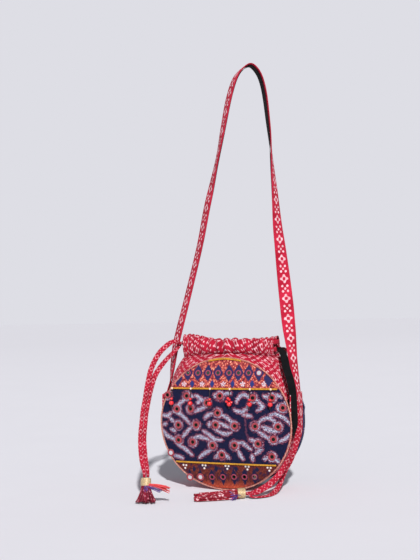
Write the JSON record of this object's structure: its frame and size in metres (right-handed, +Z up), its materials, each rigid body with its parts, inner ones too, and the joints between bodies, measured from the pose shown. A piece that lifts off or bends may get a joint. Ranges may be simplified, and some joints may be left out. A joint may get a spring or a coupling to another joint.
{
  "type": "drawstring potli sling bag",
  "caption": "Round drawstring bag of patchwork discs on a gusset, with a gathered red cotton mouth, tasselled drawstrings, hanging bead drops and a flat shoulder strap.",
  "frame": {"origin": "under the crown of the shoulder strap, on the lining, where the bag hangs", "axes": "+Z up along the hanging bag, -Y the decorated front, +X the bag's right side in the picture"},
  "size_m": [0.2146, 0.1847, 0.6018],
  "materials": {
    "red_cotton": "matte printed cotton",
    "black_lining": "matte cotton",
    "zari_cloth": "woven with metallic thread",
    "navy_ikat": "matte ikat weave",
    "rust_cloth": "fine weave",
    "yellow_braid": "braided cotton",
    "peach_cord": "twisted cotton cord",
    "gold_bead": "polished",
    "bead_thread": "twisted thread",
    "coral_bead": "glossy",
    "gold_thread": "wound metallic thread",
    "wine_cotton": "frayed cotton strips",
    "coral_thread": "loose cotton thread",
    "blue_thread": "loose cotton thread"
  },
  "bodies": {
    "bag": {"back_braid": "yellow_braid", "back_lower_band": "navy_ikat", "back_neck": "red_cotton", "back_rim_cord": "peach_cord", "back_upper_band": "navy_ikat", "front_lower_band": "rust_cloth", "front_lower_braid": "yellow_braid", "front_middle_band": "navy_ikat", "front_neck": "red_cotton", "front_rim_cord": "peach_cord", "front_top_braid": "yellow_braid", "front_upper_band": "zari_cloth", "front_upper_braid": "yellow_braid", "gusset": "red_cotton", "left_drawstring_back_end": "red_cotton", "left_drawstring_front_end": "red_cotton", "left_drawstring_held": "red_cotton", "left_tassel_fringe": "wine_cotton", "left_tassel_threads": "coral_thread", "left_tassel_wrap": "gold_thread", "right_drawstring_back_end": "red_cotton", "right_drawstring_front_end": "red_cotton", "right_drawstring_held": "red_cotton", "right_tassel_fringe": "red_cotton", "right_tassel_threads": "blue_thread", "right_tassel_wrap": "gold_thread", "strap_lining": "black_lining", "strap_printed_cloth": "red_cotton"},
    "drop_1_link": {"drop_1_seed_bead": "gold_bead"},
    "drop_1_pendant": {"drop_1_thread": "bead_thread", "drop_1_small_bead": "coral_bead", "drop_1_large_bead": "coral_bead"},
    "drop_2_link": {"drop_2_seed_bead": "gold_bead"},
    "drop_2_pendant": {"drop_2_thread": "bead_thread", "drop_2_small_bead": "coral_bead", "drop_2_large_bead": "coral_bead"},
    "drop_3_link": {"drop_3_seed_bead": "gold_bead"},
    "drop_3_pendant": {"drop_3_thread": "bead_thread", "drop_3_small_bead": "coral_bead", "drop_3_large_bead": "coral_bead"},
    "drop_4_link": {"drop_4_seed_bead": "gold_bead"},
    "drop_4_pendant": {"drop_4_thread": "bead_thread", "drop_4_small_bead": "coral_bead", "drop_4_large_bead": "coral_bead"},
    "drop_5_link": {"drop_5_seed_bead": "gold_bead"},
    "drop_5_pendant": {"drop_5_thread": "bead_thread", "drop_5_small_bead": "coral_bead", "drop_5_large_bead": "coral_bead"},
    "drop_6_link": {"drop_6_seed_bead": "gold_bead"},
    "drop_6_pendant": {"drop_6_thread": "bead_thread", "drop_6_small_bead": "coral_bead", "drop_6_large_bead": "coral_bead"}
  },
  "joints": [
    {"name": "drop_1_sway", "type": "hinge", "parent": "bag", "child": "drop_1_link", "pos_m": [-0.122, -0.03469, -0.455], "axis": [0, 1, 0], "range_deg": [-20, 20]},
    {"name": "drop_1_lift", "type": "hinge", "parent": "drop_1_link", "child": "drop_1_pendant", "pos_m": [-0.122, -0.03469, -0.455], "axis": [-1, 0, 0], "range_deg": [0, 75]},
    {"name": "drop_2_sway", "type": "hinge", "parent": "bag", "child": "drop_2_link", "pos_m": [-0.092, -0.03612, -0.455], "axis": [0, 1, 0], "range_deg": [-20, 20]},
    {"name": "drop_2_lift", "type": "hinge", "parent": "drop_2_link", "child": "drop_2_pendant", "pos_m": [-0.092, -0.03612, -0.455], "axis": [-1, 0, 0], "range_deg": [0, 75]},
    {"name": "drop_3_sway", "type": "hinge", "parent": "bag", "child": "drop_3_link", "pos_m": [-0.062, -0.03688, -0.455], "axis": [0, 1, 0], "range_deg": [-20, 20]},
    {"name": "drop_3_lift", "type": "hinge", "parent": "drop_3_link", "child": "drop_3_pendant", "pos_m": [-0.062, -0.03688, -0.455], "axis": [-1, 0, 0], "range_deg": [0, 75]},
    {"name": "drop_4_sway", "type": "hinge", "parent": "bag", "child": "drop_4_link", "pos_m": [-0.032, -0.03697, -0.455], "axis": [0, 1, 0], "range_deg": [-20, 20]},
    {"name": "drop_4_lift", "type": "hinge", "parent": "drop_4_link", "child": "drop_4_pendant", "pos_m": [-0.032, -0.03697, -0.455], "axis": [-1, 0, 0], "range_deg": [0, 75]},
    {"name": "drop_5_sway", "type": "hinge", "parent": "bag", "child": "drop_5_link", "pos_m": [-0.002, -0.03639, -0.455], "axis": [0, 1, 0], "range_deg": [-20, 20]},
    {"name": "drop_5_lift", "type": "hinge", "parent": "drop_5_link", "child": "drop_5_pendant", "pos_m": [-0.002, -0.03639, -0.455], "axis": [-1, 0, 0], "range_deg": [0, 75]},
    {"name": "drop_6_sway", "type": "hinge", "parent": "bag", "child": "drop_6_link", "pos_m": [0.028, -0.03513, -0.455], "axis": [0, 1, 0], "range_deg": [-20, 20]},
    {"name": "drop_6_lift", "type": "hinge", "parent": "drop_6_link", "child": "drop_6_pendant", "pos_m": [0.028, -0.03513, -0.455], "axis": [-1, 0, 0], "range_deg": [0, 75]}
  ]
}
